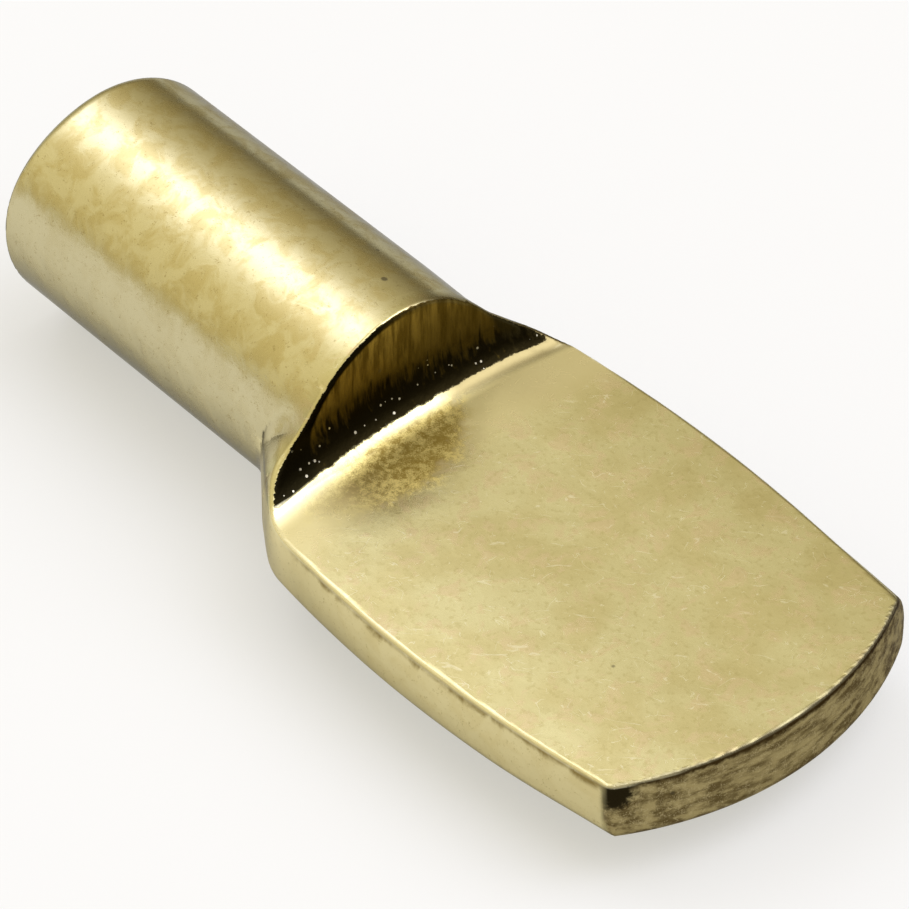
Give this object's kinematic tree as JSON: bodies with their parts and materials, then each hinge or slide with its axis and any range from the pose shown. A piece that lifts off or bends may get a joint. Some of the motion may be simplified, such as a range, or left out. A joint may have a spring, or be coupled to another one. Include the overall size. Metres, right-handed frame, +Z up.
{
  "type": "shelf support pin",
  "caption": "Spoon-style shelf support pin: round shank for a cabinet side, pressed out at the front into a flat, gently bowed paddle that carries the shelf.",
  "frame": {"origin": "on the shank's axis where the flanks leave it, level with the mouth of the hole that the shank goes into", "axes": "+X along the shank towards the paddle, +Z up, square to the paddle's flat top, which lies in the plane Z = 0"},
  "size_m": [0.0253, 0.0102, 0.0064],
  "materials": {
    "brass_plate": "satin plated, lightly scratched"
  },
  "bodies": {
    "root": {"pin": "brass_plate"}
  },
  "joints": []
}
